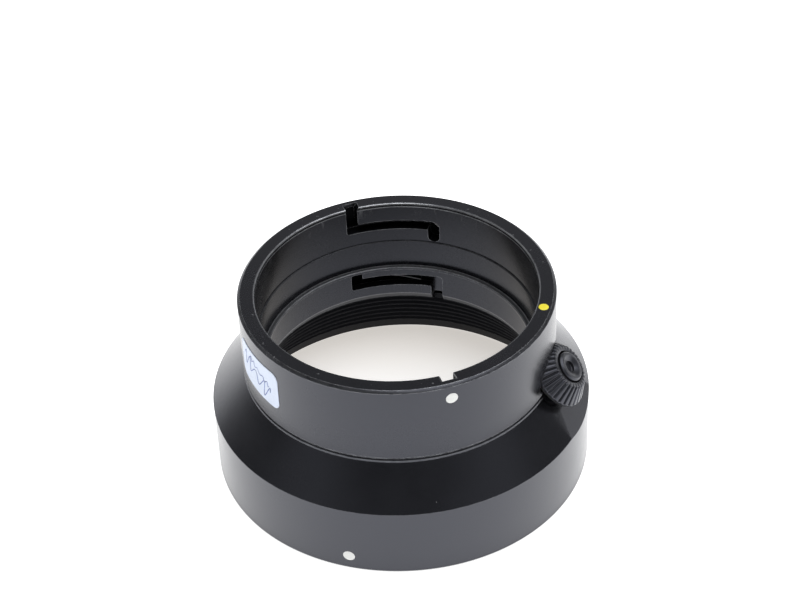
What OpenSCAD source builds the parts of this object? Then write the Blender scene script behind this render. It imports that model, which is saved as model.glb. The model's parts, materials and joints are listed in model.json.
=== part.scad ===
// Reversible bayonet lens hood with a tilted, ribbed thumbwheel that turns a drop-in filter.
// Millimetres. Origin: centre of the front rim's plane. +Z runs along the optical axis to the lens.

/* [Collar] */
// Outer radius of the rear collar
collar_r = 33; // [32.6:0.1:33.4]
// Height of the rear rim above the front rim
total_h = 42.2; // [41.6:0.1:43]
// Radius of the bore that goes over the lens
lens_bore_r = 29.35; // [29.2:0.05:29.5]
// Radius of the bore that holds the filter
filter_bore_r = 29.05; // [28.95:0.01:29.05]
// Height at which the lens bore steps down to the filter bore
bore_step_z = 32.1; // [31.9:0.1:32.4]

/* [Shell] */
// Outer radius of the front skirt
skirt_r = 40.2; // [40:0.1:40.6]
// Height of the skirt's top edge, where the cone begins
skirt_h = 16.06; // [15.8:0.02:16.4]
// Height of the cone's top edge, at the collar's foot
cone_top_z = 23.7; // [23.5:0.1:23.9]
// Wall of the skirt
skirt_wall = 1.2; // [1.1:0.1:1.5]

/* [Reverse ring] */
// Height of the lip that the filter rests on
lip_z = 25.8; // [25.6:0.1:26]
// Clear radius inside the lip
lip_r = 27.8; // [27.4:0.1:28.1]
// Thickness of the lip
lip_t = 0.8; // [0.6:0.1:1]

/* [Bayonet slots] */
// Width of every slot
slot_w = 2.6; // [2.2:0.1:2.7]
// Turn from a slot's mouth to its hook, in degrees
slot_turn = 35.2; // [33:0.2:37]
// Radius of the floor of the rear slots
slot_floor_r = 32; // [31.6:0.1:32.3]
// Radius that a rear slot's mouth reaches in the rim
mouth_floor_r = 31.4; // [30.2:0.1:31.8]
// Azimuth of the first rear slot's mouth, in degrees
rear_mouth_az = 107.8; // [100:0.1:112]
// Azimuth of the first front slot's mouth, in degrees
front_mouth_az = 71.9; // [68:0.1:76]

/* [Baffle] */
// Number of light-trap ribs
rib_count = 6; // [5:1:7]
// How far a rib's groove reaches behind the next rib's edge
rib_depth = 0.4; // [0.2:0.05:0.5]
// Height of each rib's upright edge
rib_land = 0.32; // [0.25:0.01:0.4]

/* [Thumbwheel] */
// Azimuth of the wheel, in degrees
wheel_az = -17.6; // [-22:0.1:-14]
// Radius of the wheel's ribbed rim
wheel_r = 7.5; // [7.3:0.1:7.5]
// Radius of the wheel's flat top
wheel_top_r = 4.8; // [4.5:0.1:4.9]
// Height of the ribbed cone
wheel_h = 3.05; // [2.9:0.05:3.1]
// Number of ribs on the wheel
wheel_ribs = 30; // [24:1:36]

/* [Marks] */
// Radius of the two white index dots
dot_r = 1.25; // [1:0.05:1.4]
// Radius of the yellow index dot
rim_dot_r = 1.05; // [0.8:0.05:1.1]
// Height of the paper label
label_h = 9.2; // [8:0.1:10]
// Width of the paper label, in degrees round the collar
label_turn = 27.3; // [24:0.1:28]

/* [Hidden] */
$fn = 96;

// joint between collar, ring and shell
seat_r = 31.3;
shell_top_z = cone_top_z + 0.65;
joint_z = lip_z - 0.15;
spigot_r = 28.85;
ring_bottom_z = 16;
flange_r = 33.5;
flange_t = 1.2;
chamfer_r = 30.1;
chamfer_z = 17.5;

// rear slots, in the collar
rear_run_lo = total_h - 6.8;
rear_run_hi = total_h - 4.55;
rear_hook_lo = total_h - 9.8;
mouth_roof_z = total_h - 0.9;

// front slots, in the reverse ring
front_run_lo = 19.8;
front_run_hi = 22.55;
front_hook_hi = 24;

// spring wires behind the slots
wire_r = 0.25;
wire_path_r = 31.75;
wire_hole_r = 0.27;
front_wire_z = 21.3;
front_wire_az = 95;
front_wire_turn = 36;
front_wire_lean = 12;
rear_wire_z = 35.7;
rear_wire_az = 73;
rear_wire_turn = 10;
rear_wire_lean = 40;
wire_recess_turn = 31;
wire_recess_r = 32.2;

// baffle and front ring
baffle_in_top = 30.2;
baffle_in_low = 38;
baffle_low_z = 2.8;
root_drop = 1.3;
cavity_r = skirt_r - skirt_wall;
mouth_r = skirt_r - 0.7;
front_ring_z = 0.25;
front_open_r = 38.9;

// thumbwheel frame: height along its own axis is measured from the rim's upper edge
wheel_tilt = 41.5;
wheel_c_r = 34.42;
wheel_c_z = 25.91;
floor_t = -2.93;
rim_t = -0.6;
hub_t = -2.1;
pocket_gap = 0.4;
shoulder_r = 1.5;
bush_in_r = 1.55;
bush_out_r = 2.2;
head_r = 3.25;
head_t = 1.55;
recess_r = 3.6;
recess_t = 1.0;
groove_w = 0.56;
thread_r = 1.0;
thread_end_t = -5.4;

// screws through the ring's flange
screw_az = [0, 120, 240];
screw_c_r = 32.4;
screw_head_r = 0.85;
screw_shank_r = 0.6;
screw_top_z = 19;

// marks
collar_dot_az = -72.8;
collar_dot_z = 38.8;
skirt_dot_az = -107.6;
skirt_dot_z = 3.5;
rim_dot_az = -16.6;
rim_dot_c = 30.9;
mark_t = 0.3;
label_az = -151.85;
label_z = 33.7;
label_t = 0.12;
label_corner = 1.8;

black = [0.09, 0.09, 0.1];
matt = [0.05, 0.05, 0.055];
rubber = [0.03, 0.03, 0.03];
steel = [0.62, 0.62, 0.64];
brass = [0.75, 0.6, 0.3];

module lathe(points) {
    rotate_extrude($fn = 192) polygon(points);
}

// a sector of a ring with a rectangular section, centred on azimuth az
module sector(r0, r1, z0, z1, az, turn) {
    rotate([0, 0, az - turn / 2])
        rotate_extrude(angle = turn, $fn = 192)
            translate([r0, z0])
                square([r1 - r0, z1 - z0]);
}

// places children in the thumbwheel's own frame
module at_wheel() {
    rotate([0, 0, wheel_az])
        translate([wheel_c_r, 0, wheel_c_z])
            rotate([0, 90 - wheel_tilt, 0])
                children();
}

module wheel_lathe(points) {
    at_wheel() rotate_extrude($fn = 96) polygon(points);
}

// clearance that the wheel turns in
module wheel_pocket() {
    out = wheel_r + pocket_gap;
    wheel_lathe([[0, floor_t], [3.9, floor_t], [3.9, hub_t - 0.25], [6.5, hub_t - 0.25],
        [out, -1.2], [out, 0.15], [wheel_top_r + 0.35, wheel_h + 0.25],
        [wheel_top_r + 0.35, 14], [0, 14]]);
}

module pivot_hole() {
    at_wheel() translate([0, 0, thread_end_t]) cylinder(r = thread_r + 0.02, h = 4);
}

// one tilted arc of wire, round the optical axis
module wire_arc(az, z, turn, lean, r) {
    rotate([0, 0, az])
        translate([0, 0, z])
            rotate([lean, 0, 0])
                rotate([0, 0, -turn / 2])
                    rotate_extrude(angle = turn, $fn = 96)
                        translate([wire_path_r, 0])
                            circle(r = r, $fn = 16);
}

module front_wire_arcs(r) {
    for (k = [0, 180])
        wire_arc(front_wire_az + k, front_wire_z, front_wire_turn, front_wire_lean, r);
}

module rear_wire_arcs(r) {
    for (k = [0, 180])
        wire_arc(rear_wire_az + k, rear_wire_z, rear_wire_turn, rear_wire_lean, r);
}

// upright channel of a slot at azimuth az, with a round lower or upper end
module channel(az, r1, z0, z1, round_z) {
    rotate([0, 0, az]) {
        translate([27, -slot_w / 2, z0]) cube([r1 - 27, slot_w, z1 - z0]);
        translate([27, 0, round_z]) rotate([0, 90, 0]) cylinder(r = slot_w / 2, h = r1 - 27);
    }
}

module rear_slots() {
    half = asin(slot_w / 2 / 28.3);
    mid = rear_run_lo + 1;
    intersection() {
        for (k = [0, 180]) {
            mouth = rear_mouth_az + k;
            hook = mouth - slot_turn;
            rotate([0, 0, mouth])
                translate([27, -slot_w / 2, mid])
                    cube([6, slot_w, 10]);
            sector(28, slot_floor_r + 1, rear_run_lo, rear_run_hi, mouth - slot_turn / 2,
                slot_turn + 2 * half);
            channel(hook, slot_floor_r + 1, rear_hook_lo + slot_w / 2, mid, rear_hook_lo + slot_w / 2);
        }
        lathe([[0, 0], [slot_floor_r, 0], [slot_floor_r, mouth_roof_z], [mouth_floor_r, mouth_roof_z],
            [mouth_floor_r, 60], [0, 60]]);
    }
}

module front_slots() {
    half = asin(slot_w / 2 / 28.3);
    mid = front_run_lo + 1;
    for (k = [0, 180]) {
        mouth = front_mouth_az + k;
        hook = mouth + slot_turn;
        rotate([0, 0, mouth])
            translate([27, -slot_w / 2, ring_bottom_z - 1])
                cube([4.6, slot_w, mid - ring_bottom_z + 1]);
        sector(28, 31.6, front_run_lo, front_run_hi, mouth + slot_turn / 2, slot_turn + 2 * half);
        rotate([0, 0, hook])
            translate([27, -slot_w / 2, mid])
                cube([4.6, slot_w, front_hook_hi - mid]);
    }
}

// a disc that faces outward from a wall of radius wall_r
module wall_dot(az, z, wall_r, r, t, extra) {
    rotate([0, 0, az])
        translate([wall_r - t, 0, z])
            rotate([0, 90, 0])
                cylinder(r = r, h = t + extra, $fn = 48);
}

module screw_set(head_r, shank_r, top_z) {
    for (az = screw_az)
        rotate([0, 0, az])
            translate([screw_c_r, 0, 0])
                rotate_extrude($fn = 24)
                    polygon([[0, ring_bottom_z], [head_r, ring_bottom_z],
                        [shank_r, ring_bottom_z + 0.6], [shank_r, top_z], [0, top_z]]);
}

module lens_collar() {
    color(black) difference() {
        lathe([[seat_r, shell_top_z], [collar_r - 0.25, shell_top_z], [collar_r - 0.25, shell_top_z + 0.25],
            [collar_r, shell_top_z + 0.5], [collar_r, total_h - 0.45], [collar_r - 0.6, total_h],
            [lens_bore_r + 0.3, total_h], [lens_bore_r + 0.1, total_h - 0.15],
            [lens_bore_r, total_h - 0.85], [lens_bore_r, bore_step_z],
            [filter_bore_r, bore_step_z], [filter_bore_r, joint_z], [seat_r, joint_z]]);
        rear_slots();
        wheel_pocket();
        pivot_hole();
        rear_wire_arcs(wire_hole_r);
        wall_dot(collar_dot_az, collar_dot_z, collar_r, dot_r, mark_t, 1);
        rotate([0, 0, rim_dot_az])
            translate([rim_dot_c, 0, total_h - mark_t])
                cylinder(r = rim_dot_r, h = 1, $fn = 48);
    }
}

module reverse_ring() {
    color(black) difference() {
        lathe([[lens_bore_r, lip_z - lip_t], [lip_r + 0.2, lip_z - lip_t], [lip_r, lip_z - lip_t + 0.2],
            [lip_r, lip_z - 0.15], [lip_r + 0.15, lip_z], [spigot_r, lip_z], [spigot_r, joint_z],
            [seat_r, joint_z],
            [seat_r, ring_bottom_z + flange_t], [flange_r, ring_bottom_z + flange_t],
            [flange_r, ring_bottom_z], [chamfer_r, ring_bottom_z], [lens_bore_r, chamfer_z]]);
        front_slots();
        wheel_pocket();
        pivot_hole();
        screw_set(screw_head_r, screw_shank_r, screw_top_z);
    }
}

module hood_shell() {
    web_z = ring_bottom_z;
    slope = (skirt_r - collar_r) / (cone_top_z - skirt_h);
    color(black) difference() {
        lathe([[skirt_r, 0.25], [skirt_r, skirt_h], [collar_r, cone_top_z], [collar_r, cone_top_z + 0.35],
            [collar_r - 0.3, shell_top_z], [seat_r, shell_top_z], [seat_r, web_z + flange_t],
            [flange_r, web_z + flange_t], [flange_r, web_z], [skirt_r - 2.2, web_z],
            [cavity_r, skirt_h - 1], [cavity_r, 3.4], [mouth_r, 3.4 - 0.5], [mouth_r, 0],
            [skirt_r - 0.25, 0]]);
        at_wheel() translate([0, 0, floor_t]) cylinder(r = 14, h = 20, $fn = 96);
        pivot_hole();
        for (k = [0, 180])
            sector(seat_r - 0.5, wire_recess_r, 19, 23.3, front_wire_az + k, wire_recess_turn);
        front_wire_arcs(wire_hole_r);
        screw_set(screw_head_r, screw_shank_r, screw_top_z);
        wall_dot(skirt_dot_az, skirt_dot_z, skirt_r, dot_r, mark_t, 1);
    }
}

module rib_baffle() {
    dr = (baffle_in_low - baffle_in_top) / rib_count;
    dz = (ring_bottom_z - baffle_low_z) / rib_count;
    rib = [[0, 0], [0, -rib_land], [dr + rib_depth, -root_drop]];
    ribs = [for (i = [0 : rib_count - 1], q = rib)
        [baffle_in_top + i * dr + q[0], ring_bottom_z - i * dz + q[1]]];
    color(matt) difference() {
        lathe(concat(ribs, [[baffle_in_low, baffle_low_z], [mouth_r, baffle_low_z],
            [mouth_r, 2.9], [cavity_r, 3.4], [cavity_r, 5.8], [33, ring_bottom_z]]));
        for (k = [0, 180])
            rotate([0, 0, front_mouth_az + k])
                translate([29, -slot_w / 2, ring_bottom_z - 1.4])
                    cube([2.8, slot_w, 2]);
    }
}

module front_ring() {
    color(matt) lathe([[baffle_in_low, baffle_low_z], [mouth_r, baffle_low_z], [mouth_r, front_ring_z],
        [front_open_r, front_ring_z]]);
}

module ring_screws() {
    color(steel) difference() {
        screw_set(screw_head_r, screw_shank_r, screw_top_z);
        for (az = screw_az)
            rotate([0, 0, az])
                translate([screw_c_r - 2, -0.12, ring_bottom_z - 1])
                    cube([4, 0.24, 1.25]);
    }
}

module thumbwheel() {
    slant = atan2(wheel_r - wheel_top_r, wheel_h);
    color(black) difference() {
        wheel_lathe([[bush_out_r, rim_t], [wheel_r - 0.15, rim_t], [wheel_r, rim_t + 0.15], [wheel_r, 0],
            [wheel_top_r, wheel_h], [recess_r, wheel_h], [recess_r, recess_t], [bush_out_r, recess_t]]);
        at_wheel()
            for (i = [0 : wheel_ribs - 1])
                rotate([0, 0, i * 360 / wheel_ribs])
                    translate([wheel_r, 0, 0])
                        rotate([0, -slant, 0])
                            rotate([0, 0, 45])
                                translate([-groove_w / 2, -groove_w / 2, -1.5])
                                    cube([groove_w, groove_w, 7]);
    }
}

module tyre_hub() {
    color(steel) wheel_lathe([[bush_out_r, hub_t], [5.6, hub_t], [5.6, hub_t + 0.2], [5, hub_t + 0.2],
        [5, rim_t], [bush_out_r, rim_t]]);
}

module friction_tyre() {
    color(rubber) wheel_lathe([[5, hub_t + 0.2], [6.05, hub_t + 0.2], [7.35, -0.83], [7.35, rim_t],
        [5, rim_t]]);
}

module wheel_bush() {
    color(brass) wheel_lathe([[bush_in_r, hub_t - 0.26], [3, hub_t - 0.26], [3, hub_t], [bush_out_r, hub_t],
        [bush_out_r, recess_t], [bush_in_r, recess_t]]);
}

module wave_washer() {
    color(steel) wheel_lathe([[1.7, recess_t], [3.1, recess_t], [3.1, recess_t + 0.22],
        [1.7, recess_t + 0.22]]);
}

module thrust_washer() {
    color(brass) wheel_lathe([[bush_in_r, floor_t], [3.3, floor_t], [3.3, floor_t + 0.25],
        [bush_in_r, floor_t + 0.25]]);
}

module pivot_screw() {
    top = wheel_h + 0.6;
    color(black) wheel_lathe([[0, thread_end_t], [thread_r, thread_end_t], [thread_r, floor_t],
        [shoulder_r, floor_t], [shoulder_r, head_t], [head_r, head_t], [head_r, top - 0.35],
        [head_r - 0.35, top], [2.35, top], [1.3, top - 0.5], [1.3, top - 1.2], [0, top - 1.2]]);
}

module rear_spring_wires() {
    color(steel) rear_wire_arcs(wire_r);
}

module front_spring_wires() {
    color(steel) front_wire_arcs(wire_r);
}

module index_dot_collar() {
    color([0.92, 0.92, 0.9]) wall_dot(collar_dot_az, collar_dot_z, collar_r, dot_r, mark_t, 0.02);
}

module index_dot_skirt() {
    color([0.92, 0.92, 0.9]) wall_dot(skirt_dot_az, skirt_dot_z, skirt_r, dot_r, mark_t, 0);
}

module index_dot_rim() {
    color([0.95, 0.78, 0.05])
        rotate([0, 0, rim_dot_az])
            translate([rim_dot_c, 0, total_h - mark_t])
                cylinder(r = rim_dot_r, h = mark_t, $fn = 48);
}

module paper_label() {
    half_w = collar_r * sin(label_turn / 2);
    half_h = label_h / 2;
    c = label_corner;
    color([0.93, 0.95, 0.98]) difference() {
        sector(collar_r, collar_r + label_t, label_z - half_h, label_z + half_h, label_az, label_turn);
        rotate([0, 0, label_az])
            for (x = [-1, 1], y = [-1, 1])
                translate([collar_r - 5, x * (half_w - c), label_z + y * (half_h - c)])
                    difference() {
                        translate([0, x > 0 ? 0 : -c - 1, y > 0 ? 0 : -c - 1]) cube([9, c + 1, c + 1]);
                        translate([-1, 0, 0]) rotate([0, 90, 0]) cylinder(r = c, h = 11, $fn = 32);
                    }
    }
}

lens_collar();
reverse_ring();
hood_shell();
rib_baffle();
front_ring();
ring_screws();
thumbwheel();
tyre_hub();
friction_tyre();
wheel_bush();
wave_washer();
thrust_washer();
pivot_screw();
rear_spring_wires();
front_spring_wires();
index_dot_collar();
index_dot_skirt();
index_dot_rim();
paper_label();
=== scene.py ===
"""Looks for the lens hood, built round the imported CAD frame. Metres, in the CAD's own frame."""

import json
import math

import bmesh
import bpy
from mathutils import Matrix, Vector


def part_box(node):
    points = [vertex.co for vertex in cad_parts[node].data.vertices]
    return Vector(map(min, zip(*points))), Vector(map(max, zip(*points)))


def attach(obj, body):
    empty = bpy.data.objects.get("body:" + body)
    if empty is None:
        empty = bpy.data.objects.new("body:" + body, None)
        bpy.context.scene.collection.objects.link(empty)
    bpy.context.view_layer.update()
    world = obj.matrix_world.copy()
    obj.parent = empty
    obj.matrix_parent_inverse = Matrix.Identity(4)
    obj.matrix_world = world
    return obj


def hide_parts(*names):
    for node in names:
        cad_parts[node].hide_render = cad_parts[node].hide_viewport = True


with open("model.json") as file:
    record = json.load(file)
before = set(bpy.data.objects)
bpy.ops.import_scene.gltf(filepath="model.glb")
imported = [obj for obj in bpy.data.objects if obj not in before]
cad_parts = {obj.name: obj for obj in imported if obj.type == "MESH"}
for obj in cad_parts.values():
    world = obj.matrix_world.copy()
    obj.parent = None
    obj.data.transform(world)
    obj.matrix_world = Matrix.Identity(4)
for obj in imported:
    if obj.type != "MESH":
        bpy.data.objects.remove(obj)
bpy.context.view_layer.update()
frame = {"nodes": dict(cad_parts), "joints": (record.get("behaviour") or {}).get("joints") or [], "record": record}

MM = 0.001
TURNS = 288          # facets round the optical axis

# ---------------------------------------------------------------- dimensions in mm
# What the frame gives is read from it. The rest are the part's sizes, mostly the CAD's own values.
collar_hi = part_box("lens_collar")[1]
shell_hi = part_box("hood_shell")[1]
ring_lo, ring_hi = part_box("reverse_ring")
baffle_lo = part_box("rib_baffle")[0]
front_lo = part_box("front_ring")[0]
mounts = {m["name"]: m for m in frame["record"]["mounts"]}
joint = frame["joints"][0]

TOP = collar_hi.z / MM                      # rear rim
COLLAR_R = collar_hi.y / MM                 # collar's outer radius
SKIRT_R = shell_hi.y / MM                   # skirt's outer radius
LENS_R = mounts["lens_bore"]["dims"]["r_mm"]
FILTER_R = mounts["filter_bore"]["dims"]["r_mm"]
STEP_Z = mounts["lens_bore"]["pos_m"][2] / MM - mounts["lens_bore"]["dims"]["length_mm"] / 2
LIP_Z = ring_hi.z / MM
RING_Z = ring_lo.z / MM
JOINT_Z = LIP_Z - 0.15                      # where the collar's bore meets the ring's spigot
SEAT_R, SPIGOT_R, LIP_R = 31.3, 28.85, 27.8
SHELL_TOP = shell_hi.z / MM
CONE_TOP = SHELL_TOP - 0.65
SKIRT_TOP = 16.06
CAVITY_R = SKIRT_R - 1.2                    # inside of the skirt's wall
MOUTH_R = SKIRT_R - 0.7                     # seat of the front ring
FLANGE_R, FLANGE_TOP = 33.5, RING_Z + 1.2   # the ring's flange in the shell
CHAMFER_R, CHAMFER_Z = 30.1, RING_Z + 1.5   # the chamfer at the ring's foot
FRONT_Z = front_lo.z / MM                   # underside of the front ring
LOW_Z = baffle_lo.z / MM                    # foot of the baffle

# bayonet slots: widths in mm along the bore wall, turns in degrees
SLOT_W, SLOT_TURN = 2.6, 35.2
SLOT_DEG = math.degrees(1 / 29.5)           # degrees that 1 mm takes along the wall
SLOT_HALF = SLOT_W / 2 * SLOT_DEG
REAR_SLOT_AZ, FRONT_SLOT_AZ = 107.8, 71.9   # azimuth of the first mouth of each pair
SLOT_FLOOR_R = 32.0
MOUTH_ROOF_Z, MOUTH_FLOOR_R = TOP - 0.9, 31.4     # a rear mouth is shallower in the rim
RECESS_AZ, RECESS_TURN, RECESS_R = 95, 31, 32.2   # the room behind the front slots, in the shell

# baffle
RIBS = 6
RIB_IN_TOP, RIB_IN_LOW = 30.2, 38
RIB_LAND, RIB_DEPTH, ROOT_DROP = 0.32, 0.4, 1.3

# thumbwheel: heights are along its own axis, from the rim's upper edge
RIM_R, TOP_R, WHEEL_H, FLAT_T = 7.5, 4.8, 3.05, -2.93
WHEEL_RIBS, GROOVE_DEPTH, GROOVE_HALF = 30, 0.38, 0.36
WHEEL_LOW, WHEEL_IN_R, HEAD_RECESS_R, HEAD_RECESS_T = -0.6, 2.2, 3.6, 1.0
HEAD_R, HEAD_TOP, SOCKET_R = 3.25, WHEEL_H + 0.6, 1.3
WHEEL_TURNS = 96
WHEEL_AT = Vector(joint["pos_m"])
WHEEL_AXIS = Vector(joint["axis"]).normalized()


# ---------------------------------------------------------------- mesh helpers
def polar(r, az, z):
    """A point in metres from a radius and height in mm and an azimuth in degrees."""
    a = math.radians(az)
    return Vector((r * math.cos(a), r * math.sin(a), z)) * MM


def soften(points, default=0.1, steps=3):
    """A closed outline with its corners rounded. A point is (x, y) or (x, y, radius)."""
    out = []
    n = len(points)
    for i, p in enumerate(points):
        radius = p[2] if len(p) > 2 else default
        c = Vector(p[:2])
        a = Vector(points[i - 1][:2]) - c
        b = Vector(points[(i + 1) % n][:2]) - c
        la, lb = a.length, b.length
        a.normalize()
        b.normalize()
        half = math.acos(max(-1, min(1, a.dot(b)))) / 2
        if radius <= 0 or half > math.radians(87):
            out.append(c)
            continue
        cut = min(radius / math.tan(half), 0.45 * la, 0.45 * lb)
        radius = cut * math.tan(half)
        centre = c + (a + b).normalized() * (radius / math.sin(half))
        start = c + a * cut - centre
        end = c + b * cut - centre
        turn = start.angle_signed(end) * -1
        for k in range(steps + 1):
            t = turn * k / steps
            out.append(centre + Vector((start.x * math.cos(t) - start.y * math.sin(t),
                                        start.x * math.sin(t) + start.y * math.cos(t))))
    return [(q.x, q.y) for q in out]


def new_object(name, bm, matrix=None):
    bmesh.ops.recalc_face_normals(bm, faces=bm.faces)
    if bm.calc_volume(signed=True) < 0:
        bmesh.ops.reverse_faces(bm, faces=bm.faces)
    mesh = bpy.data.meshes.new(name)
    bm.to_mesh(mesh)
    bm.free()
    if matrix is not None:
        mesh.transform(matrix)
    obj = bpy.data.objects.new(name, mesh)
    bpy.context.scene.collection.objects.link(obj)
    return obj


def lathe_bm(profile, turns):
    """A closed outline of (radius, height) in mm turned round +Z."""
    bm = bmesh.new()
    rings = []
    for i in range(turns):
        a = 2 * math.pi * (i + 0.5) / turns
        ca, sa = math.cos(a) * MM, math.sin(a) * MM
        rings.append([bm.verts.new((r * ca, r * sa, z * MM)) for r, z in profile])
    n = len(profile)
    for i in range(turns):
        p, q = rings[i], rings[(i + 1) % turns]
        for k in range(n):
            quad = [p[k], q[k], q[(k + 1) % n], p[(k + 1) % n]]
            bm.faces.new(quad)
    bmesh.ops.remove_doubles(bm, verts=bm.verts, dist=1e-7)
    bmesh.ops.delete(bm, geom=[e for e in bm.edges if not e.link_faces], context="EDGES")
    return bm


def lathe(name, profile, turns=TURNS, matrix=None):
    return new_object(name, lathe_bm(profile, turns), matrix)


def wheel_matrix():
    """The thumbwheel's own frame: local +Z is its axis, local +X points up the slope."""
    z = WHEEL_AXIS
    y = Vector((0, 0, 1)).cross(z).normalized()
    x = y.cross(z)
    m = Matrix((x, y, z)).transposed().to_4x4()
    m.translation = WHEEL_AT
    return m


def cut(obj, *cutters):
    """Subtracts closed meshes from obj, and deletes them."""
    for c in cutters:
        mod = obj.modifiers.new("cut", "BOOLEAN")
        mod.operation = "DIFFERENCE"
        mod.solver = "EXACT"
        mod.object = c
    bpy.context.view_layer.update()
    dg = bpy.context.evaluated_depsgraph_get()
    mesh = bpy.data.meshes.new_from_object(obj.evaluated_get(dg))
    obj.modifiers.clear()
    old = obj.data
    obj.data = mesh
    bpy.data.meshes.remove(old)
    for c in cutters:
        bpy.data.objects.remove(c)


def shade(obj, angle=32):
    """Smooth shading with creases kept sharp."""
    mesh = obj.data
    bm = bmesh.new()
    bm.from_mesh(mesh)
    bmesh.ops.remove_doubles(bm, verts=bm.verts, dist=2e-7)
    limit = math.radians(angle)
    for f in bm.faces:
        f.smooth = True
    for e in bm.edges:
        e.smooth = not (len(e.link_faces) == 2 and e.calc_face_angle(0) > limit)
    bm.to_mesh(mesh)
    bm.free()
    mesh.update()
    weighted = obj.modifiers.new("normals", "WEIGHTED_NORMAL")
    weighted.keep_sharp = True
    weighted.weight = 80


def slot_cutter(outline, az, r0, r1, step=1.25, roof=None, roof_r=None):
    """A closed cutter whose outline is (degrees along the wall, height in mm).

    Above the height roof, it only reaches out to the radius roof_r.
    """
    bm = bmesh.new()
    bm.faces.new([bm.verts.new((u, z, 0)) for u, z in outline])
    for level in ([roof, roof + 0.02] if roof else []):
        geom = bm.verts[:] + bm.edges[:] + bm.faces[:]
        bmesh.ops.bisect_plane(bm, geom=geom, plane_co=(0, level, 0), plane_no=(0, 1, 0))
    lo = min(u for u, z in outline)
    hi = max(u for u, z in outline)
    k = math.ceil(lo / step)
    while k * step < hi:
        geom = bm.verts[:] + bm.edges[:] + bm.faces[:]
        bmesh.ops.bisect_plane(bm, geom=geom, plane_co=(k * step, 0, 0), plane_no=(1, 0, 0))
        k += 1
    moved = bmesh.ops.extrude_face_region(bm, geom=bm.faces[:])["geom"]
    for v in moved:
        if isinstance(v, bmesh.types.BMVert):
            v.co.z = 1
    for v in bm.verts:
        u, z, side = v.co
        far = roof_r if roof and z > roof + 0.01 else r1
        v.co = polar(far if side > 0.5 else r0, az + u, z)
    return new_object("cutter", bm)


def finish_piece(obj, body, slot, material, *nodes):
    obj.data.materials.clear()
    obj.data.materials.append(material)
    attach(obj, body)
    if nodes:
        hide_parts(*nodes)
    return obj


# ---------------------------------------------------------------- material helpers
class Nodes:
    """Short calls for making one material's nodes."""

    def __init__(self, name):
        self.material = bpy.data.materials.new(name)
        self.material.use_nodes = True
        self.tree = self.material.node_tree
        self.tree.nodes.clear()
        out = self.tree.nodes.new("ShaderNodeOutputMaterial")
        self.shader = self.tree.nodes.new("ShaderNodeBsdfPrincipled")
        self.tree.links.new(self.shader.outputs[0], out.inputs[0])

    def put(self, socket, value):
        if isinstance(value, bpy.types.NodeSocket):
            self.tree.links.new(value, socket)
        elif value is not None:
            socket.default_value = value

    def add(self, kind, inputs=None, **props):
        node = self.tree.nodes.new(kind)
        for key, value in props.items():
            setattr(node, key, value)
        for key, value in (inputs or {}).items():
            self.put(node.inputs[key], value)
        return node

    def math(self, op, a, b=None, c=None, clamp=False):
        node = self.add("ShaderNodeMath", operation=op, use_clamp=clamp)
        for i, v in enumerate((a, b, c)):
            if v is not None:
                self.put(node.inputs[i], v)
        return node.outputs[0]

    def span(self, value, lo, hi, to_lo=0.0, to_hi=1.0, smooth=True):
        node = self.add("ShaderNodeMapRange", {"Value": value, "From Min": lo, "From Max": hi,
                                               "To Min": to_lo, "To Max": to_hi},
                        interpolation_type="SMOOTHSTEP" if smooth else "LINEAR")
        return node.outputs[0]

    def mix(self, factor, a, b):
        node = self.add("ShaderNodeMix", data_type="RGBA")
        self.put(node.inputs[0], factor)
        self.put(node.inputs[6], a)
        self.put(node.inputs[7], b)
        return node.outputs[2]

    def noise(self, vector, scale, detail=3.0, rough=0.55):
        node = self.add("ShaderNodeTexNoise", {"Vector": vector, "Scale": scale, "Detail": detail,
                                               "Roughness": rough})
        return node.outputs[0]

    def set(self, **inputs):
        for key, value in inputs.items():
            self.put(self.shader.inputs[key.replace("_", " ")], value)
        return self.material

    def place(self):
        """Object coordinates, and from them radius and height in mm and azimuth in radians."""
        co = self.add("ShaderNodeTexCoord").outputs["Object"]
        xyz = self.add("ShaderNodeSeparateXYZ", {0: co}).outputs
        flat = self.math("SQRT", self.math("ADD", self.math("MULTIPLY", xyz[0], xyz[0]),
                                           self.math("MULTIPLY", xyz[1], xyz[1])))
        r = self.math("MULTIPLY", flat, 1000.0)
        z = self.math("MULTIPLY", xyz[2], 1000.0)
        az = self.math("ARCTAN2", xyz[1], xyz[0])
        return co, r, z, az


def grey(v, tint):
    return (v * tint[0], v * tint[1], v * tint[2], 1.0)


def worn_edges(n, co, radius):
    """1 on sharp edges, broken up by noise; 0 elsewhere."""
    bevel = n.add("ShaderNodeBevel", {"Radius": radius}, samples=4).outputs[0]
    true = n.add("ShaderNodeNewGeometry").outputs["Normal"]
    dot = n.add("ShaderNodeVectorMath", {0: bevel, 1: true}, operation="DOT_PRODUCT").outputs["Value"]
    edge = n.span(dot, 0.999, 0.95)
    patch = n.span(n.noise(co, 700.0, 4.0, 0.65), 0.36, 0.62, 0.25, 1.0)
    return n.math("MULTIPLY", edge, patch)


def specks(n, co, scale, size, share):
    """Sparse dust: 1 inside a small dot in a few cells."""
    cell = n.add("ShaderNodeTexVoronoi", {"Vector": co, "Scale": scale})
    dot = n.span(cell.outputs["Distance"], size, size * 0.4)
    pick = n.add("ShaderNodeSeparateColor", {0: cell.outputs["Color"]}).outputs[0]
    return n.math("MULTIPLY", dot, n.math("GREATER_THAN", pick, 1.0 - share))


BLACK_TINT = (0.95, 0.98, 1.15)
# the grey of worn edges, also used for painted highlights
BARE_METAL_AND_HIGHLIGHT = (0.42, 0.43, 0.45, 1.0)
DUST = (0.55, 0.55, 0.56, 1.0)


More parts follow.
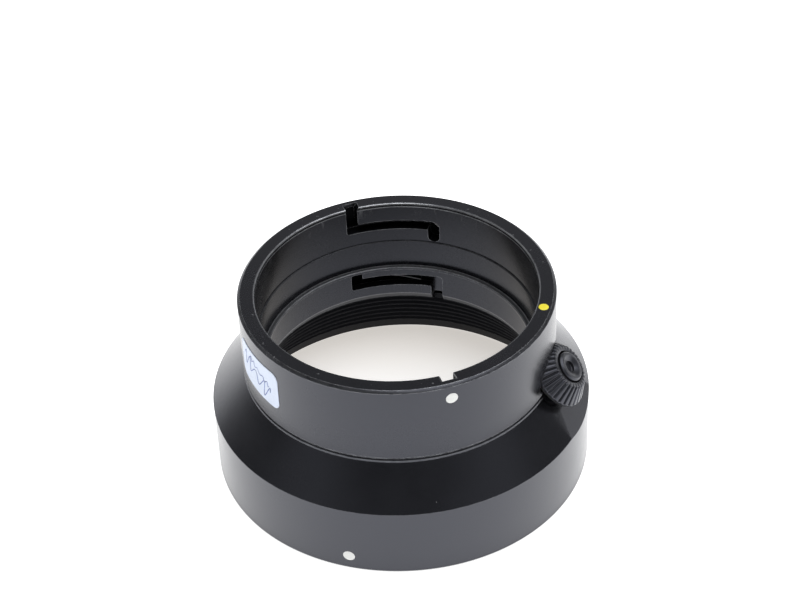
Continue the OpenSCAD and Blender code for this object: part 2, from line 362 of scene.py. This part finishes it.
def metal_black(name, base, rough=0.25, ior=1.66, edge=0.7, edge_r=0.00024, dust=0.05,
                turned=True, more_wear_and_highlight=None, sunk_painted_shade=None, calm_z=None, level=0.5):
    """Black anodised aluminium: grain, turning marks, uneven dyeing, worn edges and dust.

    extra gives a mask of more worn metal and painted highlight, and sunk a mask of places darkened by painted
    shade and made rougher and duller. Within about 0.5 mm of the height calm_z, edges keep their black.
    """
    n = Nodes(name)
    co, r, z, az = n.place()
    cloud = n.noise(co, 55.0, 4.0, 0.6)
    grain = n.noise(co, 5200.0, 2.0, 0.5)
    around = n.add("ShaderNodeCombineXYZ", {0: n.math("MULTIPLY", az, 3.0), 1: r, 2: z}).outputs[0]
    lines = n.noise(around, 9.0, 5.0, 0.7)
    dye_and_painted_shade = n.span(cloud, 0.3, 0.7, 0.80, 1.22, smooth=False)
    dye_and_painted_shade = n.math("MULTIPLY", dye_and_painted_shade, n.span(grain, 0.3, 0.7, 0.86, 1.14, smooth=False))
    # Painted shade: the colour is darkened to 0.3 of itself where the sunk mask is full, and below the same places
    # are made rougher and duller.
    painted_shade_matt_mask = sunk_painted_shade(n, co, r, z, az) if sunk_painted_shade else 0.0
    if sunk_painted_shade:
        dye_and_painted_shade = n.math("MULTIPLY", dye_and_painted_shade, n.span(painted_shade_matt_mask, 0.0, 1.0, 1.0, 0.3, smooth=False))
    colour = n.add("ShaderNodeMix", data_type="RGBA", blend_type="MULTIPLY")
    n.put(colour.inputs[0], 1.0)
    n.put(colour.inputs[6], grey(base, BLACK_TINT))
    n.put(colour.inputs[7], n.add("ShaderNodeCombineXYZ", {0: dye_and_painted_shade, 1: dye_and_painted_shade, 2: dye_and_painted_shade}).outputs[0])
    colour = colour.outputs[2]
    wear_and_highlight_mask = n.math("MULTIPLY", worn_edges(n, co, edge_r), edge)
    if calm_z:
        away = n.math("ABSOLUTE", n.math("SUBTRACT", z, calm_z))
        wear_and_highlight_mask = n.math("MULTIPLY", wear_and_highlight_mask, n.span(away, 0.3, 0.5))
    # extra brings more worn metal and painted highlights, in the grey of worn edges
    if more_wear_and_highlight:
        wear_and_highlight_mask = n.math("MAXIMUM", wear_and_highlight_mask, more_wear_and_highlight(n, co, r, z, az), clamp=True)
    colour = n.mix(wear_and_highlight_mask, colour, BARE_METAL_AND_HIGHLIGHT)
    fleck = specks(n, co, 330.0, 0.040, dust)
    colour = n.mix(n.math("MULTIPLY", fleck, 0.35), colour, DUST)
    roughness = n.math("ADD", n.span(cloud, 0.25, 0.75, rough - 0.04, rough + 0.05, smooth=False),
                       n.math("MULTIPLY", n.math("SUBTRACT", grain, 0.5), 0.10))
    if sunk_painted_shade:
        roughness = n.math("ADD", roughness, n.math("MULTIPLY", painted_shade_matt_mask, 0.35))
        n.put(n.shader.inputs["Specular IOR Level"], n.span(painted_shade_matt_mask, 0.0, 1.0, level, 0.10, smooth=False))
    else:
        n.put(n.shader.inputs["Specular IOR Level"], level)
    height = n.math("ADD", n.math("MULTIPLY", grain, 0.6),
                    n.math("MULTIPLY", lines, 0.9 if turned else 0.2))
    height = n.math("ADD", height, n.math("MULTIPLY", fleck, 2.0))
    bump = n.add("ShaderNodeBump", {"Strength": 0.22, "Distance": 0.000005, "Height": height})
    n.set(Base_Color=colour, Metallic=n.math("MULTIPLY", wear_and_highlight_mask, 0.75), Roughness=roughness, IOR=ior,
          Specular_Tint=(0.82, 0.85, 1.0, 1.0), Normal=bump.outputs[0])
    return n.material


def ring_wear_and_highlight(circles, low=0.15):
    """Worn metal and painted highlight along circles, each (radius, height, half width, strength); low is the
    least of it.
    """
    def made(n, co, r, z, az):
        total = None
        patch = n.span(n.noise(co, 260.0, 5.0, 0.7), 0.34, 0.6, low, 1.0)
        for cr, cz, half, strength in circles:
            dr = n.math("SUBTRACT", r, cr)
            dz = n.math("SUBTRACT", z, cz)
            d = n.math("SQRT", n.math("ADD", n.math("MULTIPLY", dr, dr), n.math("MULTIPLY", dz, dz)))
            band = n.math("MULTIPLY", n.span(d, half, half * 0.45), strength)
            total = band if total is None else n.math("MAXIMUM", total, band)
        return n.math("MULTIPLY", total, patch)
    return made


# ---------------------------------------------------------------- materials
def collar_wear_and_highlight(n, co, r, z, az):
    """Painted highlights, with some worn metal, along the edges at the rim and step; rubbed streaks in the bore
    and dings on the rim.
    """
    # painted highlights with some worn metal: the rim's two inner edges, the step and the rim's outer edge
    edges = ring_wear_and_highlight([(LENS_R + 0.10, TOP - 0.20, 0.27, 1.0), (LENS_R, TOP - 0.85, 0.18, 1.0),
                       (LENS_R - 0.15, STEP_Z, 0.25, 0.11),
                       (COLLAR_R - 0.3, TOP - 0.22, 0.4, 0.06)], 0.4)(n, co, r, z, az)
    # streaks along the axis, at the top of the bore
    along = n.add("ShaderNodeCombineXYZ", {0: n.math("MULTIPLY", az, 14.0),
                                           1: n.math("MULTIPLY", z, 0.12), 2: 0.0}).outputs[0]
    streak = n.span(n.noise(along, 1.0, 4.0, 0.7), 0.56, 0.72)
    high = n.span(z, TOP - 4.0, TOP - 1.0)
    bore = n.span(r, LENS_R + 0.12, LENS_R + 0.05)
    streak = n.math("MULTIPLY", n.math("MULTIPLY", streak, 0.28), n.math("MULTIPLY", high, bore))
    # small dings on the rim
    ding = n.span(n.noise(co, 900.0, 2.0, 0.5), 0.68, 0.76)
    ding = n.math("MULTIPLY", n.math("MULTIPLY", ding, 0.25), n.span(z, TOP - 0.7, TOP - 0.3))
    return n.math("MAXIMUM", n.math("MAXIMUM", edges, streak), ding)


def rear_slot_painted_shade(n, co, r, z, az):
    """Painted shade on the walls and floors of the rear slots, which are made rougher too."""
    deep = n.math("MULTIPLY", n.span(r, LENS_R + 0.06, LENS_R + 0.25),
                  n.span(r, COLLAR_R - 0.3, COLLAR_R - 0.5))
    return n.math("MULTIPLY", deep, n.span(z, TOP - 0.3, TOP - 0.8))


def front_slot_painted_shade(n, co, r, z, az):
    """Painted shade on the walls of the front slots, which are made rougher too."""
    return n.math("MULTIPLY", n.span(r, LENS_R + 0.06, LENS_R + 0.25),
                  n.span(z, LIP_Z - 0.4, LIP_Z - 0.6))


def ring_marks_and_highlight(n, co, r, z, az):
    """Painted highlights, with some worn metal, along the lip's edges and the chamfer's edge, and lighter bands on
    the lip's top and at the ring's foot.
    """
    # painted highlights with some worn metal along the lip's two edges and the chamfer's edge
    lines = ring_wear_and_highlight([(SPIGOT_R - 0.08, LIP_Z, 0.20, 0.55), (LIP_R + 0.07, LIP_Z - 0.07, 0.18, 0.42),
                       (LENS_R, CHAMFER_Z, 0.12, 0.2)], 0.5)(n, co, r, z, az)
    ledge = n.math("MULTIPLY", n.span(z, LIP_Z - 0.12, LIP_Z - 0.03), 0.11)
    foot = n.math("MULTIPLY", n.span(z, RING_Z + 1.7, RING_Z + 1.3), 0.26)
    return n.math("MAXIMUM", n.math("MAXIMUM", lines, ledge), foot)


def shell_recess_painted_shade(n, co, r, z, az):
    """Painted shade in the recess behind the front slots, which is made rougher too."""
    return n.math("MULTIPLY", n.span(r, SEAT_R + 0.15, SEAT_R + 0.3), n.span(r, 32.9, 32.7))


mat_collar = metal_black("collar_anodised", 0.005, ior=1.58, edge=0.9, calm_z=STEP_Z, more_wear_and_highlight=collar_wear_and_highlight,
                        sunk_painted_shade=rear_slot_painted_shade)
mat_ring = metal_black("ring_anodised", 0.010, ior=1.58, more_wear_and_highlight=ring_marks_and_highlight, sunk_painted_shade=front_slot_painted_shade)
# painted highlight, with some worn metal, along the cone's top edge and the skirt's foot
shell_wear_and_highlight = ring_wear_and_highlight([(COLLAR_R, CONE_TOP + 0.35, 0.14, 0.25), (SKIRT_R, 0.25, 0.15, 0.25)])
mat_shell = metal_black("shell_anodised", 0.004, ior=1.62, rough=0.22, edge=0.35, sunk_painted_shade=shell_recess_painted_shade,
                        more_wear_and_highlight=shell_wear_and_highlight)
mat_wheel = metal_black("thumbwheel_anodised", 0.007, rough=0.28, edge=0.35, edge_r=0.00012, dust=0.03,
                        turned=False)
mat_baffle = metal_black("baffle_matt_black", 0.006, rough=0.55, ior=1.4, edge=0.2, edge_r=0.00012, dust=0.02,
                         level=0.24)
mat_screw = metal_black("screw_blackened", 0.012, rough=0.34, ior=1.6, edge=0.3, dust=0.0, turned=False)


def plain(name, colour, rough, metallic=0.0, scale=3000.0, bump=0.15, spread=0.12, cloudy=70.0):
    """A small part's finish: fine grain, uneven colour and roughness."""
    n = Nodes(name)
    co = n.add("ShaderNodeTexCoord").outputs["Object"]
    grain = n.noise(co, scale, 3.0)
    cloud = n.noise(co, cloudy, 4.0)
    dark = tuple(c * (1 - spread) for c in colour) + (1.0,)
    light = tuple(min(1, c * (1 + spread)) for c in colour) + (1.0,)
    tone = n.math("ADD", n.math("MULTIPLY", grain, 0.5), n.math("MULTIPLY", cloud, 0.5))
    fine = n.add("ShaderNodeBump", {"Strength": bump, "Distance": 0.00001, "Height": grain})
    n.set(Base_Color=n.mix(n.span(tone, 0.35, 0.65), dark, light), Metallic=metallic, IOR=1.5,
          Roughness=n.span(grain, 0.3, 0.7, rough - 0.05, rough + 0.05, smooth=False),
          Normal=fine.outputs[0])
    return n.material


mat_rubber = plain("rubber_black", (0.012, 0.012, 0.012), 0.75, bump=0.4)
mat_steel = plain("steel_drawn", (0.50, 0.50, 0.52), 0.32, metallic=1.0)
mat_hub = plain("aluminium_turned", (0.55, 0.55, 0.57), 0.35, metallic=1.0)
mat_brass = plain("brass_turned", (0.68, 0.50, 0.22), 0.30, metallic=1.0)
mat_white = plain("enamel_white", (0.71, 0.72, 0.70), 0.38, spread=0.05, bump=0.08)
mat_yellow = plain("enamel_yellow", (1.0, 0.86, 0.05), 0.36, spread=0.06, bump=0.08)
mat_paper = plain("label_coated_paper", (0.66, 0.73, 0.87), 0.55, scale=2200.0, bump=0.25, spread=0.035)
mat_ink = plain("pen_ink_blue", (0.13, 0.18, 0.43), 0.5, spread=0.3, cloudy=900.0, bump=0.05)


# ---------------------------------------------------------------- cutters
def rear_slot(turn):
    """An L-shaped slot that opens in the rear rim and runs to a hook."""
    lo, hi, low = TOP - 6.8, TOP - 4.55, TOP - 9.8
    half, wide = SLOT_HALF, SLOT_HALF + 0.5 * SLOT_DEG
    points = [(half, TOP + 1, 0), (half, lo, 0.6), (half - SLOT_TURN, lo, 0.15),
              (half - SLOT_TURN, low, 1.28), (-half - SLOT_TURN, low, 1.28),
              (-half - SLOT_TURN, hi, 1.3), (-half, hi, 0.45), (-half, TOP - 0.8, 0.5),
              (-wide, TOP + 0.1, 0.2), (-wide, TOP + 1, 0)]
    return slot_cutter(in_degrees(points), REAR_SLOT_AZ + turn, 28.2, SLOT_FLOOR_R,
                       roof=MOUTH_ROOF_Z, roof_r=MOUTH_FLOOR_R)


def front_slot(turn):
    """A slot of the same kind the other way up, open at the ring's foot."""
    lo, hi, top = RING_Z + 3.8, RING_Z + 6.55, RING_Z + 8
    half = SLOT_HALF
    points = [(-half, RING_Z - 1, 0), (-half, hi, 0.6), (SLOT_TURN - half, hi, 0.2),
              (SLOT_TURN - half, top, 0.4), (SLOT_TURN + half, top, 0.6), (SLOT_TURN + half, lo, 0.7),
              (half, lo, 0.3), (half, RING_Z - 1, 0)]
    return slot_cutter(in_degrees(points), FRONT_SLOT_AZ + turn, 27.0, 32.5)


def in_degrees(points):
    """Rounds the corners in mm along the wall, then turns the widths back into degrees."""
    flat = [(u / SLOT_DEG, z, radius) for u, z, radius in points]
    return [(u * SLOT_DEG, z) for u, z in soften(flat, steps=5)]


def pocket_cutter():
    """The recess that the thumbwheel turns in, open outwards along its axis."""
    out, top = RIM_R + 0.4, TOP_R + 0.35
    return lathe("cutter", [(0.0, FLAT_T), (3.9, FLAT_T), (3.9, -2.35), (6.5, -2.35), (out, -1.2),
                            (out, 0.15), (top, WHEEL_H + 0.25), (top, 14), (0.0, 14)],
                 WHEEL_TURNS, wheel_matrix())


# ---------------------------------------------------------------- collar
collar = lathe("collar_body", soften([
    (SEAT_R, SHELL_TOP, 0), (COLLAR_R - 0.25, SHELL_TOP, 0.05), (COLLAR_R - 0.25, SHELL_TOP + 0.25, 0.1),
    (COLLAR_R, SHELL_TOP + 0.5, 0.12), (COLLAR_R, TOP - 0.45, 0.15), (COLLAR_R - 0.6, TOP, 0.08),
    (LENS_R + 0.3, TOP, 0.08), (LENS_R + 0.1, TOP - 0.15, 0.08), (LENS_R, TOP - 0.85, 0.15),
    (LENS_R, STEP_Z, 0.02), (FILTER_R, STEP_Z, 0.05), (FILTER_R, JOINT_Z, 0.03), (SEAT_R, JOINT_Z, 0)]))
cut(collar, rear_slot(0), rear_slot(180), pocket_cutter())
shade(collar)
finish_piece(collar, "hood", "black_anodised", mat_collar, "lens_collar")

# ---------------------------------------------------------------- reverse ring
ring = lathe("reverse_ring_body", soften([
    (LENS_R, LIP_Z - 0.8, 0.05), (LIP_R + 0.2, LIP_Z - 0.8, 0.05), (LIP_R, LIP_Z - 0.6, 0.08),
    (LIP_R, LIP_Z - 0.15, 0.08), (LIP_R + 0.15, LIP_Z, 0.08), (SPIGOT_R, LIP_Z, 0.05), (SPIGOT_R, JOINT_Z, 0),
    (SEAT_R, JOINT_Z, 0), (SEAT_R, FLANGE_TOP, 0), (FLANGE_R, FLANGE_TOP, 0), (FLANGE_R, RING_Z, 0),
    (CHAMFER_R, RING_Z, 0.08), (LENS_R, CHAMFER_Z, 0.10)]))
cut(ring, front_slot(0), front_slot(180), pocket_cutter())
shade(ring)
finish_piece(ring, "hood", "black_anodised", mat_ring, "reverse_ring")

# ---------------------------------------------------------------- shell
shell = lathe("shell_body", soften([
    (SKIRT_R, 0.25, 0.1), (SKIRT_R, SKIRT_TOP, 0.12), (COLLAR_R, CONE_TOP, 0.06),
    (COLLAR_R, CONE_TOP + 0.35, 0.12), (COLLAR_R - 0.3, SHELL_TOP, 0.08), (SEAT_R, SHELL_TOP, 0),
    (SEAT_R, FLANGE_TOP, 0), (FLANGE_R, FLANGE_TOP, 0), (FLANGE_R, RING_Z, 0),
    (SKIRT_R - 2.2, RING_Z, 0), (CAVITY_R, SKIRT_TOP - 1, 0.1), (CAVITY_R, 3.4, 0), (MOUTH_R, 2.9, 0),
    (MOUTH_R, 0, 0.08), (SKIRT_R - 0.25, 0, 0.1)]))
# the flat under the wheel, and the room behind the front slots
flat = lathe("cutter", [(0.0, FLAT_T), (14, FLAT_T), (14, 20), (0.0, 20)], WHEEL_TURNS, wheel_matrix())
half = RECESS_TURN / 2
pad = [(-half, 19), (half, 19), (half, 23.3), (-half, 23.3)]
recess = [slot_cutter(pad, RECESS_AZ + turn, SEAT_R - 0.5, RECESS_R) for turn in (0, 180)]
cut(shell, flat, *recess)
shade(shell)
finish_piece(shell, "hood", "black_anodised", mat_shell, "hood_shell")

# ---------------------------------------------------------------- baffle and front ring
dr, dz = (RIB_IN_LOW - RIB_IN_TOP) / RIBS, (RING_Z - LOW_Z) / RIBS
ribs = []
for i in range(RIBS):
    r, z = RIB_IN_TOP + i * dr, RING_Z - i * dz
    ribs += [(r, z, 0.04), (r, z - RIB_LAND, 0.04), (r + dr + RIB_DEPTH, z - ROOT_DROP, 0.05)]
baffle = lathe("baffle_body", soften(ribs + [
    (RIB_IN_LOW, LOW_Z, 0.03), (MOUTH_R, LOW_Z, 0), (MOUTH_R, 2.9, 0), (CAVITY_R, 3.4, 0),
    (CAVITY_R, 5.8, 0), (33, RING_Z, 0)]))
# the mouths of the front slots go on through the baffle's top edge
gap, notch_low, notch_top = 2.2, RING_Z - 1.4, RING_Z + 1
notch = [slot_cutter([(-gap, notch_low), (gap, notch_low), (gap, notch_top), (-gap, notch_top)],
                     FRONT_SLOT_AZ + turn, 29, 31.8) for turn in (0, 180)]
cut(baffle, *notch)
shade(baffle)
finish_piece(baffle, "hood", "matt_black", mat_baffle, "rib_baffle")

front = lathe("front_ring_body", soften([
    (RIB_IN_LOW, LOW_Z, 0.02), (MOUTH_R, LOW_Z, 0.02), (MOUTH_R, FRONT_Z, 0.08), (38.9, FRONT_Z, 0.12)]))
shade(front)
finish_piece(front, "hood", "matt_black", mat_baffle, "front_ring")


# ---------------------------------------------------------------- thumbwheel
def thumbwheel():
    """Turned cone with flat-topped ribs and narrow V grooves, a flat annulus and a recess."""
    slant = math.atan2(RIM_R - TOP_R, WHEEL_H)
    # each level is a radius, a height and how deep its grooves are, as a share of the full depth
    levels = [(WHEEL_IN_R, WHEEL_LOW, 0), (RIM_R - 0.18, WHEEL_LOW, 0), (RIM_R - 0.05, -0.55, 0),
              (RIM_R, -0.45, 0.0), (RIM_R, -0.16, 0.0), (RIM_R, -0.06, 0.25), (RIM_R - 0.02, 0.03, 1)]
    steps = 14
    for k in range(steps + 1):
        f = k / steps
        levels.append((RIM_R - 0.06 - (RIM_R - TOP_R - 0.12) * f, 0.07 + (WHEEL_H - 0.14) * f, 1))
    levels += [(TOP_R - 0.02, WHEEL_H - 0.02, 1), (TOP_R - 0.1, WHEEL_H, 0.8),
               (TOP_R - 0.3, WHEEL_H, 0.0), (HEAD_RECESS_R + 0.12, WHEEL_H, 0),
               (HEAD_RECESS_R + 0.04, WHEEL_H - 0.03, 0), (HEAD_RECESS_R, WHEEL_H - 0.12, 0),
               (HEAD_RECESS_R, HEAD_RECESS_T, 0), (WHEEL_IN_R, HEAD_RECESS_T, 0)]
    # half of a groove's section: how far out from its middle, and how high its wall stands there
    groove = ((0, 0), (0.12, 0.05), (0.5, 0.46), (0.8, 0.82), (1.0, 0.97), (1.25, 1))
    pitch = 2 * math.pi / WHEEL_RIBS
    bm = bmesh.new()
    loops = []
    for rho, t, grooved in levels:
        loop = []
        limit = min(GROOVE_HALF / rho, 0.36 * pitch)
        side = [(a * limit, f) for a, f in groove]
        shape = [(-a, f) for a, f in reversed(side[1:])] + side
        deep = GROOVE_DEPTH * grooved * min(1, limit * rho / GROOVE_HALF)
        for i in range(WHEEL_RIBS):
            for a, f in shape:
                d = deep * (1 - f)
                rr = (rho - d * math.cos(slant)) * MM
                zz = (t - d * math.sin(slant)) * MM
                ang = i * pitch + a
                loop.append(bm.verts.new((rr * math.cos(ang), rr * math.sin(ang), zz)))
        loops.append(loop)
    count = len(loops[0])
    for j in range(len(loops)):
        a, b = loops[j], loops[(j + 1) % len(loops)]
        for k in range(count):
            bm.faces.new([a[k], a[(k + 1) % count], b[(k + 1) % count], b[k]])
    return new_object("thumbwheel_ribbed", bm, wheel_matrix())


wheel = thumbwheel()
shade(wheel, 40)
finish_piece(wheel, "wheel", "black_anodised", mat_wheel, "thumbwheel")

screw = lathe("pivot_screw_body", soften([
    (0.0, -5.4, 0), (1.0, -5.4, 0), (1.0, FLAT_T, 0), (1.5, FLAT_T, 0), (1.5, 1.55, 0),
    (HEAD_R, 1.55, 0.05), (HEAD_R, HEAD_TOP - 0.35, 0.08), (2.9, HEAD_TOP, 0.08),
    (2.35, HEAD_TOP, 0.06), (SOCKET_R, HEAD_TOP - 0.5, 0.06), (SOCKET_R, HEAD_TOP - 1.2, 0.1),
    (0.0, HEAD_TOP - 1.2, 0)]), WHEEL_TURNS, wheel_matrix())
shade(screw)
finish_piece(screw, "hood", "blackened_steel", mat_screw, "pivot_screw")


# ---------------------------------------------------------------- index dots
DOT_DEPTH, DOT_R, RIM_DOT_R = 0.28, 1.25, 1.05


def dot(name, node, at, out, radius, material, slot):
    """An enamel fill with a shallow dome, just proud of its wall."""
    out = out.normalized()
    side = out.orthogonal().normalized()
    m = Matrix((side, out.cross(side), out)).transposed().to_4x4()
    m.translation = at
    profile = [(0.0, -DOT_DEPTH), (radius, -DOT_DEPTH), (radius, -0.02), (radius * 0.97, 0.015),
               (radius * 0.8, 0.04), (radius * 0.5, 0.06), (0.0, 0.07)]
    obj = lathe(name, profile, 48, m)
    shade(obj, 50)
    return finish_piece(obj, "hood", slot, material, node)


def centre(node):
    lo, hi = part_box(node)
    return (lo + hi) / 2


for name, node, wall in (("index_dot_rear", "index_dot_collar", COLLAR_R),
                         ("index_dot_front", "index_dot_skirt", SKIRT_R)):
    c = centre(node)
    out = Vector((c.x, c.y, 0)).normalized()
    dot(name, node, out * wall * MM + Vector((0, 0, c.z)), out, DOT_R, mat_white, "white_enamel")
c = centre("index_dot_rim")
dot("index_dot_yellow", "index_dot_rim", Vector((c.x, c.y, TOP * MM)), Vector((0, 0, 1)), RIM_DOT_R,
    mat_yellow, "yellow_enamel")


# ---------------------------------------------------------------- paper label
LABEL_AZ, LABEL_TURN = -151.85, 27.3
label_lo, label_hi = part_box("paper_label")
LABEL_Z = (label_lo.z + label_hi.z) / 2 / MM
LABEL_H = (label_hi.z - label_lo.z) / MM


def label_point(u, v, lift):
    """u and v in mm from the label's middle, along the wall and up."""
    return polar(COLLAR_R + lift, LABEL_AZ + math.degrees(u / COLLAR_R), LABEL_Z + v)


def paper():
    """The label's sheet, bent round the collar, with a little lift away from its edges."""
    w = LABEL_TURN / 2 * math.pi / 180 * COLLAR_R
    h = LABEL_H / 2
    outline = soften([(-w, -h, 1.8), (w, -h, 1.8), (w, h, 1.8), (-w, h, 1.8)], steps=8)
    bm = bmesh.new()
    bm.faces.new([bm.verts.new((u, v, 0)) for u, v in outline])
    for axis, size in ((0, w), (1, h)):
        for k in range(-12, 13):
            at, no = [0, 0, 0], [0, 0, 0]
            at[axis], no[axis] = size * k / 12.5, 1
            geom = bm.verts[:] + bm.edges[:] + bm.faces[:]
            bmesh.ops.bisect_plane(bm, geom=geom, plane_co=at, plane_no=no)
    moved = bmesh.ops.extrude_face_region(bm, geom=bm.faces[:])["geom"]
    for v in moved:
        if isinstance(v, bmesh.types.BMVert):
            v.co.z = 1
    for v in bm.verts:
        u, s, top = v.co
        edge = max(abs(u) / w, abs(s) / h)
        wave = 0.02 * math.sin(u * 1.3 + 0.7) * math.sin(s * 0.9) + 0.02
        v.co = label_point(u, s, (0.10 + wave * min(1, 3 * (1 - edge))) if top > 0.5 else -0.02)
    return new_object("paper_label_sheet", bm)


label = paper()
shade(label, 50)
finish_piece(label, "hood", "label_paper", mat_paper, "paper_label")


def stroke(bm, points, width=0.20):
    """A thin pen line on the label, on a smooth curve through points in mm."""
    dense = []
    for i in range(len(points) - 1):
        p0, p1 = points[max(i - 1, 0)], points[i]
        p2, p3 = points[i + 1], points[min(i + 2, len(points) - 1)]
        for k in range(8):
            t = k / 8
            dense.append([0.5 * (2 * b + (c - a) * t + (2 * a - 5 * b + 4 * c - d) * t * t
                                 + (3 * b - a - 3 * c + d) * t ** 3) for a, b, c, d in zip(p0, p1, p2, p3)])
    dense.append(list(points[-1]))
    rows = []
    for i, (u, v) in enumerate(dense):
        a, b = dense[max(i - 1, 0)], dense[min(i + 1, len(dense) - 1)]
        d = Vector((b[0] - a[0], b[1] - a[1]))
        if d.length < 1e-6:
            continue
        d.normalize()
        fade = min(1, 0.5 + i / 6, 0.5 + (len(dense) - i) / 6)
        o = Vector((-d.y, d.x)) * width / 2 * fade
        row = []
        for s in (-1, 1):
            for lift in (0.150, 0.165):
                row.append(bm.verts.new(label_point(u + s * o.x, v + s * o.y, lift)))
        rows.append(row)
    for a, b in zip(rows, rows[1:]):
        for i, j in ((0, 1), (1, 3), (3, 2), (2, 0)):
            bm.faces.new([a[i], a[j], b[j], b[i]])
    for end in (rows[0], rows[-1]):
        bm.faces.new([end[0], end[1], end[3], end[2]])


def scribble(x0, y0, length, fall, swing, turns):
    """Points of a loose, slanting pen scribble."""
    points = []
    steps = 36
    for k in range(steps + 1):
        t = k / steps
        high = swing * (0.75 + 0.25 * math.sin(9 * t))
        up = high * math.sin(turns * 2 * math.pi * t + 1.6 * math.sin(6 * t))
        points.append((x0 + length * t + 0.4 * up, y0 - fall * t + up))
    return points


ink = bmesh.new()
stroke(ink, scribble(-5.6, 1.8, 10.6, 3.8, 1.9, 4.5))
stroke(ink, scribble(-2.4, 2.9, 7.4, 2.6, 0.5, 5), 0.16)
finish_piece(new_object("label_pen_marks", ink), "hood", "label_paper", mat_ink)

# ---------------------------------------------------------------- CAD nodes that stay
for node, material in (("ring_screws", mat_steel), ("tyre_hub", mat_hub), ("friction_tyre", mat_rubber),
                       ("wheel_bush", mat_brass), ("wave_washer", mat_steel), ("thrust_washer", mat_brass),
                       ("rear_spring_wires", mat_steel), ("front_spring_wires", mat_steel)):
    slots = frame["nodes"][node].data.materials
    if len(slots):
        for i in range(len(slots)):
            slots[i] = material
    else:
        slots.append(material)

# ---------------------------------------------------------------- stage
bm = bmesh.new()
bmesh.ops.create_grid(bm, x_segments=1, y_segments=1, size=3.0)
floor = new_object("floor", bm, Matrix.Translation((0, 0, -0.00005)))
n = Nodes("floor_pale")
co = n.add("ShaderNodeTexCoord").outputs["Object"]
tone = n.span(n.noise(co, 3.0, 3.0), 0.3, 0.7)
xyz = n.add("ShaderNodeSeparateXYZ", {0: co}).outputs
flat_r = n.math("SQRT", n.math("ADD", n.math("MULTIPLY", xyz[0], xyz[0]),
                               n.math("MULTIPLY", xyz[1], xyz[1])))
# the floor's glow is turned down under the hood as painted shade, more so towards the front, and is a little warm
# at the back
open_floor = n.span(flat_r, 0.0385, 0.0415)
inside_painted_shade = n.span(xyz[1], -0.03, 0.02, 0.24, 0.58)
warm = n.span(xyz[1], 0.005, 0.034)
OPEN_GLOW, WHITE, WARM_WHITE = 1.25, (1.0, 1.0, 1.0, 1.0), (1.0, 0.95, 0.89, 1.0)
glow = n.math("ADD", inside_painted_shade, n.math("MULTIPLY", open_floor, n.math("SUBTRACT", OPEN_GLOW, inside_painted_shade)))
bump = n.add("ShaderNodeBump", {"Strength": 0.02, "Distance": 0.0005, "Height": n.noise(co, 400.0)})
n.set(Base_Color=n.mix(tone, (0.72, 0.72, 0.722, 1), (0.75, 0.75, 0.75, 1)), Roughness=0.7,
      Emission_Color=n.mix(open_floor, n.mix(warm, WHITE, WARM_WHITE), WHITE),
      Emission_Strength=glow, Normal=bump.outputs[0])
n.shader.inputs["Specular IOR Level"].default_value = 0.1
floor.data.materials.append(n.material)

# ---------------------------------------------------------------- light
world = bpy.data.worlds.new("studio")
bpy.context.scene.world = world
world.use_nodes = True
tree = world.node_tree
back = tree.nodes["Background"]
coord = tree.nodes.new("ShaderNodeTexCoord")
xyz = tree.nodes.new("ShaderNodeSeparateXYZ")
ramp = tree.nodes.new("ShaderNodeValToRGB")
tree.links.new(coord.outputs["Generated"], xyz.inputs[0])
tree.links.new(xyz.outputs[2], ramp.inputs[0])
tree.links.new(ramp.outputs[0], back.inputs[0])
# brightness against the sine of the elevation: a bright horizon, and one band that lights the rim
stops = [(0.0, 1.4), (0.03, 1.1), (0.07, 0.55), (0.14, 0.28), (0.40, 0.11), (0.57, 0.62), (0.67, 0.06),
         (1.0, 0.18)]
ramp.color_ramp.elements[0].position = 0
ramp.color_ramp.elements[1].position = 1
for pos, v in stops[1:-1]:
    ramp.color_ramp.elements.new(pos)
for e, (pos, v) in zip(ramp.color_ramp.elements, stops):
    e.position = pos
    e.color = (v, v, v * 1.01, 1)
back.inputs[1].default_value = 1.0


def softbox(name, at, target, size, watts):
    """A round area light at one point, aimed at another."""
    data = bpy.data.lights.new(name, "AREA")
    data.shape = "DISK"
    data.size = size
    data.energy = watts
    obj = bpy.data.objects.new(name, data)
    bpy.context.scene.collection.objects.link(obj)
    obj.location = at
    obj.rotation_euler = (Vector(target) - Vector(at)).to_track_quat("-Z", "Y").to_euler()


softbox("overhead", (0.16, 0.02, 0.92), (0, 0, 0), 1.05, 8.0)

# ---------------------------------------------------------------- camera
ELEVATION = math.radians(38.373)
ROLL = math.radians(-2.646)
CAMERA_AT = (-0.00088, -0.3196, 0.2933)
SENSOR_MM, LENS_MM = 36.0, 90.43
forward = Vector((0, math.cos(ELEVATION), -math.sin(ELEVATION)))
level = Vector((1, 0, 0))
above = Vector((0, math.sin(ELEVATION), math.cos(ELEVATION)))
right = level * math.cos(ROLL) + above * math.sin(ROLL)
up = above * math.cos(ROLL) - level * math.sin(ROLL)
camera = bpy.data.objects.new("camera", bpy.data.cameras.new("camera"))
bpy.context.scene.collection.objects.link(camera)
pose = Matrix((right, up, -forward)).transposed().to_4x4()
pose.translation = Vector(CAMERA_AT)
camera.matrix_world = pose
camera.data.sensor_width = SENSOR_MM
camera.data.lens = LENS_MM
camera.data.dof.use_dof = False
camera.data.clip_start = 0.01
bpy.context.scene.camera = camera
bpy.context.scene.view_settings.view_transform = "Standard"
